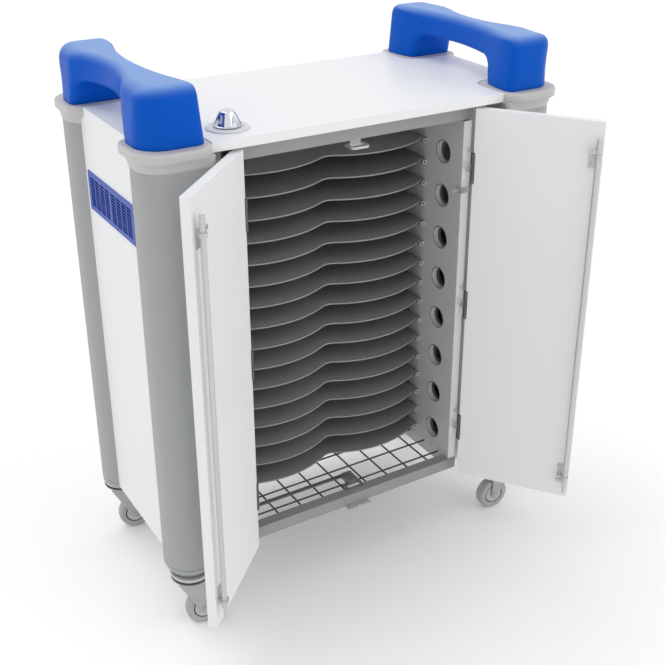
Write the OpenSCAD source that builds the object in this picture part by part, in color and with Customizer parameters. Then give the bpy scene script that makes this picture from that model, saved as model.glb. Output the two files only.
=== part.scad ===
/* [Cabinet] */
// Height of the cabinet's underside above the floor
base_z = 150; // [130:1:180]
// Height of the cabinet body, up to the underside of the table top
body_h = 870; // [864:1:1000]
// Width over the outer faces of the two side panels
body_w = 866; // [850:1:890]
// Thickness of the white boards
board_t = 18; // [15:0.5:20]
// Thickness of the table top and of the four collars round it
top_t = 18; // [14:0.5:25]
// Reach of the table top in front of the middle
top_front = 220; // [212:1:228]
// Reach of the table top behind the middle
top_rear = 213; // [207:1:225]
// Distance from the middle to the outer face of the rear panel
rear_face_y = 205.5; // [200:0.5:215]
// Gap under the side panels
side_gap = 6.5; // [2:0.5:20]
// Width of the opening between the two inner walls
bay_w = 501; // [490:1:504]
// Distance from the middle to the inner faces of the closed doors
door_plane = 212.5; // [210:0.5:216]
// Distance from the door plane back to the inner walls' front edges
wall_setback = 25; // [24:0.5:30]
// Distance from the door plane back to the front strips
strip_setback = 45; // [30:0.5:60]
// Distance from the door plane back to the two cross rails
rail_setback = 22; // [20:0.5:24]
// Depth of the cross rails
rail_d = 25; // [20:1:30]
// Height of the bottom rail
rail_h = 26.5; // [20:0.5:32]
// Height of the rail under the table top
fascia_h = 33; // [25:1:40]
// Gap between an inner wall's front edge and the rail under the table top
wall_notch = 4.5; // [0:0.5:8]

/* [Corner posts] */
// Distance from a side panel's outer face in to the middle of the posts
post_inset = 48; // [40:1:56]
// Distance between the middles of the front and rear posts
post_base = 357; // [350:1:370]
// Width of a post, left to right
post_w = 132; // [124:1:136]
// Depth of a post, front to back
post_d = 112; // [104:1:118]
// Radius of a post's two outer corners
post_corner_r = 49; // [30:1:50]
// Radius of a post's two inner corners
post_edge_r = 7; // [3:1:12]
// Wall of a hollow post
post_wall = 4; // [2:0.5:8]
// Height of the end cap under a post
cap_h = 13; // [6:1:16]
// Overhang of a collar at the outer side
collar_out = 9; // [4:0.5:18]
// Overhang of a collar to the front or to the back
collar_over = 11; // [6:0.5:20]
// Overhang of a collar towards the middle of its side
collar_back = 9; // [4:0.5:20]
// Radius of a collar's outer corner at the middle of its side
collar_side_r = 30; // [12:1:50]
// Radius of a collar's two inner corners
collar_edge_r = 34; // [8:1:40]

/* [Handles] */
// Height of a handle above its collars
handle_h = 106; // [96:1:150]
// Width of a handle's legs
leg_w = 118; // [96:1:124]
// Depth of a leg at its foot
leg_d = 90.5; // [85:0.5:105]
// Distance from a post's middle out to the leg's outer side
leg_out = 63.5; // [56:0.5:66]
// Distance from a post's middle to the leg's front side
leg_front = 46.5; // [42:0.5:56]
// Height of the hand opening under the grip
grip_clear = 51; // [40:1:60]
// Lean of a leg's hand side, over the height of the hand opening
leg_lean = 8; // [0:1:15]
// Lean of a handle's inner side, over its height
side_lean = 8.5; // [0:0.5:16]
// Lean of a handle's outer side, over its height
out_lean = 3.5; // [0:0.5:10]
// Depth of the waist at the grip's inner side
waist_in = 24; // [8:1:30]
// Radius of the waist's long curve at the inner side
waist_in_r = 660; // [400:10:900]
// Depth of the waist at the grip's outer side
waist_out = 30; // [8:1:32]
// Radius of the waist's long curve at the outer side
waist_out_r = 305; // [250:5:600]
// Radius at the top edges of a handle
handle_edge_r = 20; // [10:1:30]
// Radius at the ends of the hand opening
arch_r = 26; // [12:1:30]
// Radius of a leg's outer upright corner
leg_corner_r = 50; // [20:1:54]
// Radius of a leg's other upright corners
leg_edge_r = 15; // [4:1:20]

/* [Shelves] */
// Number of shelves
shelf_n = 16; // [4:1:16]
// Distance from the top shelf's upper face up to the table top
shelf_drop = 101.1; // [95:0.1:160]
// Height of the lowest shelf's upper face above the cabinet's underside
shelf_low = 58.2; // [50:0.5:66]
// Thickness of a shelf
shelf_t = 3; // [1.5:0.5:5]
// Gap between a shelf's end and the inner wall
shelf_gap = 5.5; // [2:0.5:8]
// Distance from an inner wall's face to a front lobe's nose, sideways
lobe_in = 129.5; // [120:0.5:140]
// Distance from the middle to a front lobe's nose, forwards
lobe_nose = 95.5; // [80:0.5:105]
// Radius of a front lobe
lobe_r = 215; // [200:1:240]
// Radius of the blend between the two lobes
dip_r = 30; // [15:1:40]
// Distance from the middle to a shelf's rear edge
shelf_rear = 182; // [150:1:186]
// Diameter of a runner tube
runner_d = 10; // [8:0.5:10.5]
// Bore of a runner tube
runner_bore = 6; // [3:0.5:7]
// Distance from the middle to a runner's front end
runner_front = 62; // [50:1:90]

/* [Cable holes] */
// Number of cable holes in the right inner wall
hole_n = 8; // [2:1:8]
// Diameter of a cable hole
hole_d = 47.6; // [30:0.2:56]
// Height of the lowest cable hole above the cabinet's underside
hole_low = 77.4; // [60:0.1:100]
// Distance from the top cable hole up to the table top
hole_drop = 118.5; // [90:0.5:150]
// Distance from the middle forwards to the cable holes
hole_y = 121; // [105:1:140]

/* [Mesh floor] */
// Diameter of a mesh wire
wire_d = 4; // [3:0.5:5]
// Distance between mesh wires
wire_pitch = 56.2; // [45:0.2:70]
// Height of the wires' middle above the cabinet's underside
mesh_z = 20.5; // [12:0.5:20.5]
// Distance from the middle to the foremost cross wire
mesh_front = 146; // [135:1:155]
// Sideways shift of the long wires from the middle
mesh_shift = -14.2; // [-20:0.2:20]

/* [Doors] */
// Distance from an inner wall's face out to a door's hinge axis
hinge_out = 6.5; // [6:0.5:11]
// Gap between the two closed doors
door_gap = 2; // [2:0.5:6]
// Gap between a door and the table top
door_drop = 6; // [6:0.5:12]
// Rest opening angle of the left door
open_left = 135.5; // [90:0.5:139]
// Rest opening angle of the right door
open_right = 126.8; // [90:0.2:139]
// Length of a hinge
hinge_len = 64; // [40:1:90]
// Diameter of a hinge's barrel
barrel_d = 7; // [6:0.5:7.5]
// Diameter of a hinge pin
pin_d = 3; // [2:0.5:4]
// Thickness of a hinge leaf
leaf_t = 1.5; // [1:0.1:2]

/* [Door rods] */
// Diameter of a door rod
rod_d = 10; // [8:0.5:11]
// Distance from a door's inner face to the rod's axis
rod_y = 13; // [12:0.5:14]
// Distance from the left door's free edge to its rod
rod_left_in = 12; // [9:0.5:20]
// Distance from the right door's free edge to its rod
rod_right_in = 6; // [6:0.5:20]
// Height of a rod's lower end above the door's lower edge
rod_low = 44; // [42:1:46]
// Distance from a rod's upper end up to the door's upper edge
rod_drop = 32; // [20:1:44]
// Reach of a hook from the rod's axis
hook_len = 20; // [14:1:21]

/* [Knob] */
// Diameter of the knob's round plate
knob_plate_d = 81; // [70:1:90]
// Diameter of the knob at its foot
knob_d = 52; // [40:1:60]
// Diameter of the knob at its top
knob_top_d = 29; // [22:1:34]
// Height of the knob
knob_h = 28; // [20:1:36]
// Distance from the left collars' inner side to the knob
knob_in = 62; // [50:1:90]
// Distance from the middle to the knob, forwards
knob_y = 152; // [130:1:165]

/* [Vents] */
// Width of a vent
vent_w = 237; // [200:1:240]
// Height of a vent
vent_h = 79; // [70:1:100]
// Distance from a vent's upper edge up to the table top
vent_drop = 108; // [60:1:200]
// Rows of slots in a vent
vent_rows = 10; // [4:1:10]
// Slots in each half of a row
vent_slots = 4; // [2:1:6]
// Height of a slot
slot_h = 4.2; // [2:0.2:5]

/* [Castors] */
// Distance from a post's middle out to the castor's axis, sideways
castor_out = 20; // [0:1:22]
// Distance from a post's middle to the castor's axis, to the front or back
castor_over = 14.5; // [0:0.5:16]
// Diameter of a wheel
wheel_d = 76; // [66:1:80]
// Width of a wheel
wheel_w = 26; // [20:1:28]
// Diameter of the hub inside the tyre
hub_d = 50; // [40:1:56]
// Trail of a castor
trail = 21; // [14:1:26]
// Diameter of a castor's round housing
housing_d = 100; // [92:1:118]
// Height of a castor's round housing
housing_h = 12; // [10:1:18]
// Diameter of the swivel pin
swivel_d = 12; // [8:1:16]
// Diameter of the axle
axle_d = 8; // [6:0.5:10]

/* [Hidden] */
$fn = 64;
shelf_half = ceil(shelf_n / 2);

// Overrun of every cut past the face that it opens
cut = 1;
// Radial clearance of every pin and shaft in its bore
fit = 0.1;
// Gap between parts that turn against each other face to face
run = 0.3;

white = [0.93, 0.93, 0.94];
post_grey = [0.62, 0.64, 0.63];
collar_grey = [0.72, 0.71, 0.70];
inside_grey = [0.60, 0.61, 0.62];
steel = [0.70, 0.71, 0.72];
dark = [0.30, 0.31, 0.33];
blue = [0.06, 0.33, 0.79];
vent_blue = [0.14, 0.28, 0.67];
rubber = [0.62, 0.62, 0.62];

top_z = base_z + body_h;
table_z = top_z + top_t;
post_x = body_w / 2 - post_inset;
post_in_x = post_x - post_w / 2;
post_in_y = post_base / 2 - post_d / 2;
wall_x = bay_w / 2;
wall_out_x = wall_x + board_t;
shelf_pitch = (body_h - shelf_drop - shelf_low) / (shelf_n - 1);
hole_pitch = (body_h - hole_drop - hole_low) / (hole_n - 1);
hinge_x = wall_x + hinge_out;
door_w = hinge_x - door_gap / 2;
door_h = body_h - door_drop;
rod_left_x = door_w - rod_left_in;
rod_right_x = door_w - rod_right_in;
castor_x = post_x + castor_out;
castor_y = post_base / 2 + castor_over;
wall_front_y = wall_setback - door_plane;
rail_front_y = rail_setback - door_plane;
rear_in_y = rear_face_y - board_t;
fascia_z = top_z - fascia_h;

// The origin lies on the floor, below the middle of the box round the cart
// with its doors at rest, so the cabinet's own middle is moved back
eye_w = 5;
front_reach = door_plane + rod_right_x * sin(open_right) - rod_y * cos(open_right)
              + (rod_d + eye_w) / 2;
rear_reach = max(post_base / 2 + post_d / 2 + collar_over, castor_y + housing_d / 2);

module from_middle() {
    translate([0, (front_reach - rear_reach) / 2, 0]) children();
}

// A post's place, with +x outwards and +y away from the middle
module at_corner(side, end) {
    translate([side * post_x, end * post_base / 2, 0])
        mirror([side < 0 ? 1 : 0, 0, 0])
            mirror([0, end < 0 ? 1 : 0, 0])
                children();
}

// A block from its low corner to its high corner
module block(low, high) {
    translate(low) cube(high - low);
}

// An outline from its low corner to its high corner, with its own radius at
// the +x +y corner, at the +x -y corner and at the two -x corners
module corner_outline(low, high, r_out, r_side, r_in) {
    places = [[high[0], high[1], r_out], [high[0], low[1], r_side],
              [low[0], low[1], r_in], [low[0], high[1], r_in]];
    turns = [[-1, -1], [-1, 1], [1, 1], [1, -1]];
    polygon([[high[0], high[1] - r_out], [high[0] - r_out, high[1]],
             [low[0] + r_in, high[1]], [low[0], high[1] - r_in],
             [low[0], low[1] + r_in], [low[0] + r_in, low[1]],
             [high[0] - r_side, low[1]], [high[0], low[1] + r_side]]);
    for (i = [0 : 3]) translate([places[i][0] + turns[i][0] * places[i][2],
                                 places[i][1] + turns[i][1] * places[i][2]])
        circle(places[i][2]);
}

module block_2d(low, high) {
    translate(low) square(high - low);
}

// Table top: a board with its four corners cut away round the collars
module collar_outline() {
    corner_outline([-post_w / 2, -post_d / 2 - collar_back],
                   [post_w / 2 + collar_out, post_d / 2 + collar_over],
                   post_corner_r, collar_side_r, collar_edge_r);
}

module top_panel() {
    color(white) from_middle() translate([0, 0, top_z]) linear_extrude(top_t) difference() {
        block_2d([-body_w / 2, -top_front], [body_w / 2, top_rear]);
        for (side = [-1, 1], end = [-1, 1]) at_corner(side, end) collar_outline();
    }
}

// A post's outline, drawn in by a wall
module post_outline(wall) {
    x = post_w / 2 - wall;
    y = post_d / 2 - wall;
    corner_outline([-x, -y], [x, y], post_corner_r - wall, post_corner_r - wall,
                   max(post_edge_r - wall, post_wall / 4));
}

// Side panel: a board whose ends follow two posts, opened behind its vent
vent_rim = 6;
vent_play = 0.5;
vent_low = body_h - vent_drop - vent_h;

module vent_hole(margin) {
    block([body_w / 2 - board_t - cut, margin - vent_w / 2, base_z + vent_low + margin],
          [body_w / 2 + cut, vent_w / 2 - margin, base_z + vent_low + vent_h - margin]);
}

module side_panel() {
    color(white) from_middle() difference() {
        translate([0, 0, base_z + side_gap]) linear_extrude(body_h - side_gap) difference() {
            block_2d([body_w / 2 - board_t, -post_base / 2], [body_w / 2, post_base / 2]);
            for (end = [-1, 1]) at_corner(1, end) post_outline(0);
        }
        vent_hole(vent_rim);
    }
}

module side_panel_left() { mirror([1, 0, 0]) side_panel(); }
module side_panel_right() { side_panel(); }

module rear_panel() {
    color(white) from_middle() block([-post_in_x, rear_in_y, base_z], [post_in_x, rear_face_y, top_z]);
}

// Front strips: narrow boards between each inner wall and its post
module front_strips() {
    color(white) from_middle() for (side = [0, 1]) mirror([side, 0, 0])
        block([wall_out_x, strip_setback - door_plane, base_z],
              [post_in_x, strip_setback - door_plane + board_t, top_z]);
}

module fascia_rail() {
    color(inside_grey) from_middle() block([-wall_out_x, rail_front_y, fascia_z],
                             [wall_out_x, rail_front_y + rail_d, top_z]);
}

module bottom_rail() {
    color(inside_grey) from_middle() block([-wall_out_x, rail_front_y, base_z],
                             [wall_out_x, rail_front_y + rail_d, base_z + rail_h]);
}

// Post: a hollow upright with two large outer corners
module post(side, end) {
    color(post_grey) from_middle() at_corner(side, end) translate([0, 0, base_z + cap_h])
        linear_extrude(body_h - cap_h) difference() {
            post_outline(0);
            post_outline(post_wall);
        }
}

module post_fl() { post(-1, -1); }
module post_fr() { post(1, -1); }
module post_rl() { post(-1, 1); }
module post_rr() { post(1, 1); }

// Collar: a grey block that caps a post and carries one leg of a handle
module collar(side, end) {
    color(collar_grey) from_middle() at_corner(side, end) translate([0, 0, top_z])
        linear_extrude(top_t) collar_outline();
}

module collar_fl() { collar(-1, -1); }
module collar_fr() { collar(1, -1); }
module collar_rl() { collar(-1, 1); }
module collar_rr() { collar(1, 1); }

// Post foot: a flat cap under the post with a twice grooved ring below it
ring_h = 7;
groove_h = 2;
groove_deep = 4;

module post_foot() {
    translate([0, 0, base_z]) linear_extrude(cap_h) post_outline(0);
    translate([castor_out, castor_over, base_z]) rotate_extrude() polygon([
        [0, 0], [housing_d / 2 - groove_deep, 0],
        [housing_d / 2 - groove_deep, -groove_h], [housing_d / 2, -groove_h],
        [housing_d / 2, groove_h - ring_h], [housing_d / 2 - groove_deep, groove_h - ring_h],
        [housing_d / 2 - groove_deep, -ring_h], [0, -ring_h]]);
}

module post_feet() {
    color(post_grey) from_middle() for (side = [-1, 1], end = [-1, 1]) at_corner(side, end) post_foot();
}

// Handle: one moulded bow on two legs, waisted along its grip
leg_end_y = post_base / 2 + leg_front;
leg_mid_x = post_x + leg_out - leg_w / 2;
grip_half = leg_end_y - leg_d;

module handle_side_view() {
    difference() {
        union() {
            block_2d([-leg_end_y, 0], [leg_end_y, handle_h - handle_edge_r]);
            block_2d([handle_edge_r - leg_end_y, 0], [leg_end_y - handle_edge_r, handle_h]);
            for (end = [-1, 1])
                translate([end * (leg_end_y - handle_edge_r), handle_h - handle_edge_r])
                    circle(handle_edge_r);
        }
        polygon([[-grip_half, -cut], [grip_half, -cut], [grip_half, 0],
                 [grip_half - leg_lean, grip_clear - arch_r],
                 [grip_half - leg_lean - arch_r, grip_clear],
                 [leg_lean + arch_r - grip_half, grip_clear],
                 [leg_lean - grip_half, grip_clear - arch_r], [-grip_half, 0]]);
        for (end = [-1, 1])
            translate([end * (grip_half - leg_lean - arch_r), grip_clear - arch_r]) circle(arch_r);
    }
}

module handle_front_view() {
    x = leg_w / 2;
    polygon([[-x, 0], [x, 0], [x - out_lean, handle_h - handle_edge_r],
             [x - out_lean - handle_edge_r, handle_h],
             [side_lean + handle_edge_r - x, handle_h],
             [side_lean - x, handle_h - handle_edge_r]]);
    for (c = [x - out_lean - handle_edge_r, side_lean + handle_edge_r - x])
        translate([c, handle_h - handle_edge_r]) circle(handle_edge_r);
}

module handle_plan() {
    difference() {
        union() for (end = [0, 1]) mirror([0, end, 0]) {
            corner_outline([-leg_w / 2, 0], [leg_w / 2, leg_end_y],
                           leg_corner_r, leg_edge_r, leg_edge_r);
            block_2d([-leg_w / 2, 0], [leg_w / 2, leg_end_y / 2]);
        }
        translate([leg_w / 2 + waist_out_r - waist_out, 0]) circle(waist_out_r, $fn = 180);
        translate([waist_in - waist_in_r - leg_w / 2, 0]) circle(waist_in_r, $fn = 180);
    }
}

module handle() {
    color(blue) from_middle() translate([leg_mid_x, 0, table_z]) intersection() {
        linear_extrude(handle_h) handle_plan();
        translate([-leg_w / 2, 0, 0]) rotate([90, 0, 90])
            linear_extrude(leg_w) handle_side_view();
        translate([0, leg_end_y, 0]) rotate([90, 0, 0])
            linear_extrude(2 * leg_end_y) handle_front_view();
    }
}

module handle_left() { mirror([1, 0, 0]) handle(); }
module handle_right() { handle(); }

// Inner walls: boards beside the shelves, notched round the two cross rails
// and slotted in the front edge for the hinges' leaves
leaf_in = 12;

module inner_wall() {
    difference() {
        block([wall_x, wall_front_y, base_z], [wall_out_x, rear_in_y, top_z]);
        block([wall_x - cut, wall_front_y - cut, base_z - cut],
              [wall_out_x + cut, rail_front_y + rail_d, base_z + rail_h]);
        block([wall_x - cut, wall_front_y - cut, fascia_z - wall_notch],
              [wall_out_x + cut, rail_front_y + rail_d, top_z + cut]);
        for (z = hinge_places)
            block([hinge_x - leaf_t / 2, wall_front_y - cut, base_z + z],
                  [hinge_x + leaf_t / 2, wall_front_y + leaf_in, base_z + z + hinge_len]);
    }
}

module inner_wall_left() { color(inside_grey) from_middle() mirror([1, 0, 0]) inner_wall(); }

module inner_wall_right() {
    color(inside_grey) from_middle() difference() {
        inner_wall();
        for (i = [0 : hole_n - 1])
            translate([wall_x - cut, -hole_y, base_z + hole_low + i * hole_pitch])
                rotate([0, 90, 0]) cylinder(h = board_t + 2 * cut, d = hole_d);
    }
}

// Shelf: a thin sheet whose front edge has two lobes and a dip between them
lobe_x = wall_x - lobe_in;
lobe_y = lobe_r - lobe_nose;
dip_y = lobe_y - sqrt(pow(lobe_r + dip_r, 2) - pow(lobe_x, 2));
touch_share = lobe_r / (lobe_r + dip_r);
touch_x = lobe_x * (1 - touch_share);
touch_y = lobe_y + (dip_y - lobe_y) * touch_share;
shelf_w = bay_w - 2 * shelf_gap;

module shelf_outline() {
    intersection() {
        block_2d([-shelf_w / 2, -lobe_nose - cut], [shelf_w / 2, shelf_rear]);
        union() {
            block_2d([-shelf_w / 2, 0], [shelf_w / 2, shelf_rear]);
            for (side = [-1, 1]) translate([side * lobe_x, lobe_y]) circle(lobe_r, $fn = 180);
            difference() {
                polygon([[-touch_x, touch_y], [touch_x, touch_y], [lobe_x, 0], [-lobe_x, 0]]);
                translate([0, dip_y]) circle(dip_r);
            }
        }
    }
}

module shelves(first, last) {
    color(dark) from_middle() for (i = [first : last])
        translate([0, 0, base_z + shelf_low + i * shelf_pitch - shelf_t])
            linear_extrude(shelf_t) shelf_outline();
}

module shelves_lower() { shelves(0, shelf_half - 1); }
module shelves_upper() { shelves(shelf_half, shelf_n - 1); }

// Runners: tubes along both inner walls, a shelf resting on each pair
module shelf_runners() {
    color(steel) from_middle() for (side = [-1, 1], i = [0 : shelf_n - 1])
        translate([side * (wall_x - runner_d / 2), rear_in_y,
                   base_z + shelf_low + i * shelf_pitch - shelf_t - runner_d / 2])
            rotate([90, 0, 0]) difference() {
                cylinder(h = rear_in_y + runner_front, d = runner_d);
                translate([0, 0, -cut])
                    cylinder(h = rear_in_y + runner_front + 2 * cut, d = runner_bore);
            }
}

// Mesh floor: welded wires, the long ones under the cross ones
weld = 0.6;
mesh_depth = rear_in_y - rail_front_y - rail_d;
long_n = floor((bay_w / 2 - wire_d) / wire_pitch);
cross_n = floor((rear_in_y + mesh_front - wire_d) / wire_pitch);

module mesh_floor() {
    color(steel) from_middle() translate([0, 0, base_z + mesh_z]) {
        for (i = [-long_n : long_n])
            if (abs(i * wire_pitch + mesh_shift) < wall_x - wire_d)
                translate([i * wire_pitch + mesh_shift, rear_in_y, 0])
                    rotate([90, 0, 0]) cylinder(h = mesh_depth, d = wire_d, $fn = 16);
        for (i = [0 : cross_n])
            translate([-wall_x, i * wire_pitch - mesh_front, wire_d - weld])
                rotate([0, 90, 0]) cylinder(h = bay_w, d = wire_d, $fn = 16);
    }
}

// Vent: a blue plate with rows of slots, its rear rib let into the panel
vent_t = 2.5;
vent_rib_d = 8;
vent_rib_t = 3;
vent_bar = 6;
slot_gap = 4;
slot_span = (vent_w - 2 * (vent_rim + vent_rib_t + vent_play) - vent_bar) / 2;
slot_pitch = slot_span / vent_slots;
slot_w = slot_pitch - slot_gap;
row_pitch = (vent_h - 2 * (vent_rim + vent_rib_t + vent_play)) / vent_rows;

module vent() {
    inset = vent_rim + vent_play;
    x = body_w / 2;
    low = base_z + vent_low;
    color(vent_blue) from_middle() difference() {
        union() {
            block([x, -vent_w / 2, low], [x + vent_t, vent_w / 2, low + vent_h]);
            block([x - vent_rib_d, inset - vent_w / 2, low + inset],
                  [x, vent_w / 2 - inset, low + vent_h - inset]);
        }
        block([x - vent_rib_d - cut, inset + vent_rib_t - vent_w / 2, low + inset + vent_rib_t],
              [x, vent_w / 2 - inset - vent_rib_t, low + vent_h - inset - vent_rib_t]);
        for (half = [-1, 1], s = [0 : vent_slots - 1], r = [0 : vent_rows - 1])
            translate([x - cut, half * (vent_bar / 2 + slot_pitch / 2 + s * slot_pitch),
                       low + inset + vent_rib_t + row_pitch / 2 + r * row_pitch])
                translate([0, -slot_w / 2, -slot_h / 2])
                    cube([vent_t + 2 * cut, slot_w, slot_h]);
    }
}

module vent_left() { mirror([1, 0, 0]) vent(); }
module vent_right() { vent(); }

// Keepers: a flat stirrup under the top rail and one over the bottom rail
stirrup_w = 43;
stirrup_d = 28;
stirrup_t = 5;
stirrup_bar = 5;
stirrup_r = 10;
stirrup_x = 5;
stirrup_back = 9;

module stirrup_outline(w, d, r) {
    block_2d([-w / 2, -d / 2 + r], [w / 2, d / 2]);
    block_2d([r - w / 2, -d / 2], [w / 2 - r, d / 2]);
    for (side = [-1, 1]) translate([side * (w / 2 - r), r - d / 2]) circle(r);
}

module stirrup() {
    linear_extrude(stirrup_t) difference() {
        stirrup_outline(stirrup_w, stirrup_d, stirrup_r);
        stirrup_outline(stirrup_w - 2 * stirrup_bar, stirrup_d - 2 * stirrup_bar,
                        stirrup_r - stirrup_bar);
    }
}

stem_w = 24;
stem_t = 4;
stem_rise = 14;
keeper_drop = 21;

module top_keeper() {
    color(steel) from_middle()
        translate([stirrup_x, rail_front_y + rail_d + stem_t, fascia_z - keeper_drop]) {
            translate([0, -stirrup_d / 2, 0]) stirrup();
            block([-stem_w / 2, -stem_t, 0], [stem_w / 2, 0, keeper_drop + stem_rise]);
        }
}

latch_h = 12;
latch_shift = 4;
bar_w = 8;
bar_t = 4;
bar_front = 120;
bar_end = 12;

module bottom_latch() {
    color(steel) from_middle() translate([stirrup_x, 0, base_z + rail_h]) {
        translate([0, rail_front_y + stirrup_back + stirrup_d / 2, 0]) stirrup();
        block([latch_shift - stem_w / 2, rail_front_y + stirrup_back + stirrup_d - stirrup_bar, 0],
              [latch_shift + stem_w / 2, -bar_front - bar_w / 2, latch_h]);
    }
}

// Keeper plate: an angle under the bottom rail with two screw slots
keeper_w = 58;
keeper_x = -2;
keeper_out = 14;
keeper_t = 2;
keeper_back = 12;
keeper_slot = 4;
keeper_notch = 9;
keeper_screw_x = 18;
keeper_screw_y = 5;

module keeper_screw_place() {
    for (side = [-1, 1])
        translate([keeper_x + side * keeper_screw_x,
                   rail_front_y - keeper_screw_y, base_z]) children();
}

module keeper_plate() {
    color(steel) from_middle() difference() {
        block([keeper_x - keeper_w / 2, rail_front_y - keeper_out, base_z - keeper_t],
              [keeper_x + keeper_w / 2, rail_front_y + keeper_back, base_z]);
        translate([keeper_x, rail_front_y - keeper_out, base_z - keeper_t - cut])
            cylinder(h = keeper_t + 2 * cut, d = keeper_notch);
        keeper_screw_place() translate([0, 0, -keeper_t - cut])
            cylinder(h = keeper_t + 2 * cut, d = keeper_slot);
    }
}

screw_head_d = 7;
screw_head_h = 2;
screw_d = 4;

// A screw: a flat round head below a shank that points up
module screw(length) {
    translate([0, 0, -screw_head_h]) cylinder(h = screw_head_h, d = screw_head_d);
    cylinder(h = length, d = screw_d);
}

module keeper_screws() {
    color(steel) from_middle() keeper_screw_place() mirror([0, 0, 1]) screw(keeper_t);
}

// Link bar: a flat bar on the mesh from the left wall to the bottom latch
mesh_top = base_z + mesh_z + wire_d - weld + wire_d / 2;

module link_bar() {
    color(dark) from_middle() block([-wall_x, -bar_front - bar_w / 2, mesh_top],
                                    [bar_end, bar_w / 2 - bar_front, mesh_top + bar_t]);
}

// Wall catch: a clip over the right inner wall's front edge, with a hook
catch_drop = 190;
catch_h = 12;
catch_t = 1.5;
catch_d = 14;
catch_hook = 17;
catch_lip = 5;

module wall_catch() {
    z = top_z - catch_drop;
    y = wall_front_y;
    color(steel) from_middle() {
        block([wall_x - catch_t, y - catch_t, z], [wall_out_x, y, z + catch_h]);
        block([wall_x - catch_t, y - catch_t, z], [wall_x, y + catch_d, z + catch_h]);
        block([wall_x - catch_hook, y + catch_d - catch_t, z],
              [wall_x, y + catch_d, z + catch_h / 2]);
        block([wall_x - catch_hook, y + catch_d - catch_lip, z],
              [wall_x - catch_hook + catch_t, y + catch_d, z + catch_h / 2]);
    }
}

// Doors: each is drawn closed, with its hinge axis at the origin, x to the
// middle and y inwards, and then swung to its rest angle
module in_left_door() {
    translate([-hinge_x, -door_plane, base_z]) rotate([0, 0, -open_left]) children();
}

module in_right_door() {
    translate([hinge_x, -door_plane, base_z]) rotate([0, 0, open_right])
        mirror([1, 0, 0]) children();
}

hinge_end = 92;
hinge_places = [hinge_end, door_h / 2 - hinge_len / 2, door_h - hinge_end - hinge_len];
notch_gap = 0.7;
edge_gap = leaf_t / 2;
bracket_end = 53;
bracket_h = 32;
rod_over = 29;
rod_high = door_h - rod_drop;
bracket_high = rod_high - rod_over - bracket_h;
knuckle = hinge_len / 3;

module door(rod_x) {
    difference() {
        block([edge_gap, -board_t, 0], [door_w, 0, door_h]);
        for (z = hinge_places) translate([0, 0, z - notch_gap])
            cylinder(h = hinge_len + 2 * notch_gap, d = barrel_d + 2 * notch_gap);
        for (low = [bracket_end, bracket_high])
            at_bracket_screws(rod_x, low) cylinder(h = screw_len, d = screw_d);
    }
}

module door_left() { color(white) from_middle() in_left_door() door(rod_left_x); }
module door_right() { color(white) from_middle() in_right_door() door(rod_right_x); }

// Barrel: one knuckle of a hinge, bored for its pin
module barrel(low, high) {
    translate([0, 0, low]) cylinder(h = high - low, d = barrel_d);
}

module bore(low, high) {
    translate([0, 0, low - cut]) cylinder(h = high - low + 2 * cut, d = pin_d + 2 * fit);
}

module door_leaves() {
    for (z = hinge_places) difference() {
        union() {
            barrel(z + knuckle + run, z + 2 * knuckle - run);
            block([-leaf_t / 2, notch_gap - board_t, z + knuckle + run],
                  [leaf_t / 2, 0, z + 2 * knuckle - run]);
        }
        bore(z, z + hinge_len);
    }
}

module door_leaves_left() { color(steel) from_middle() in_left_door() door_leaves(); }
module door_leaves_right() { color(steel) from_middle() in_right_door() door_leaves(); }

module frame_leaf(z) {
    for (low = [z, z + 2 * knuckle]) difference() {
        union() {
            barrel(low, low + knuckle);
            block([-leaf_t / 2, 0, low], [leaf_t / 2, wall_setback, low + knuckle]);
        }
        bore(low, low + knuckle);
    }
    block([-leaf_t / 2, wall_setback, z], [leaf_t / 2, wall_setback + leaf_in, z + hinge_len]);
}

module hinge_frame_leaves() {
    color(steel) from_middle() for (side = [0, 1]) mirror([side, 0, 0])
        translate([hinge_x, -door_plane, base_z]) for (z = hinge_places) frame_leaf(z);
}

module hinge_pins() {
    color(steel) from_middle() for (side = [-1, 1], z = hinge_places)
        translate([side * hinge_x, -door_plane, base_z + z]) cylinder(h = hinge_len, d = pin_d);
}

// Rod brackets: a plate on the door and an eye round the rod
bracket_t = 2;
bracket_w = 20;
eye_h = 8;
hook_t = 7;
hook_root = 8;
hook_tip = 4;

bracket_screw_x = 15;
bracket_screw_end = 7;
screw_len = 12;

module at_bracket_screws(x, low) {
    for (z = [bracket_screw_end, bracket_h - bracket_screw_end])
        translate([x - bracket_screw_x, bracket_t, low + z]) rotate([90, 0, 0]) children();
}

module rod_bracket(x, low, eye_low) {
    difference() {
        union() {
            block([x - bracket_w, 0, low], [x, bracket_t, low + bracket_h]);
            block([x - rod_d / 2 - bracket_t, 0, eye_low],
                  [x, rod_y, eye_low + eye_h]);
            translate([x, rod_y, eye_low]) cylinder(h = eye_h, d = rod_d + eye_w);
        }
        translate([x, rod_y, eye_low - cut])
            cylinder(h = eye_h + 2 * cut, d = rod_d + 2 * fit);
        at_bracket_screws(x, low) cylinder(h = screw_len, d = screw_d);
    }
}

module rod_brackets(x) {
    rod_bracket(x, bracket_end, bracket_end);
    rod_bracket(x, bracket_high, bracket_high + bracket_h - eye_h);
}

module rod_brackets_left() { color(steel) from_middle() in_left_door() rod_brackets(rod_left_x); }
module rod_brackets_right() { color(steel) from_middle() in_right_door() rod_brackets(rod_right_x); }

// Bracket screws: round heads on the plates, shanks in the door
module bracket_screws(x) {
    for (low = [bracket_end, bracket_high]) at_bracket_screws(x, low) screw(screw_len);
}

module bracket_screws_left() { color(steel) from_middle() in_left_door() bracket_screws(rod_left_x); }
module bracket_screws_right() { color(steel) from_middle() in_right_door() bracket_screws(rod_right_x); }

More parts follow.
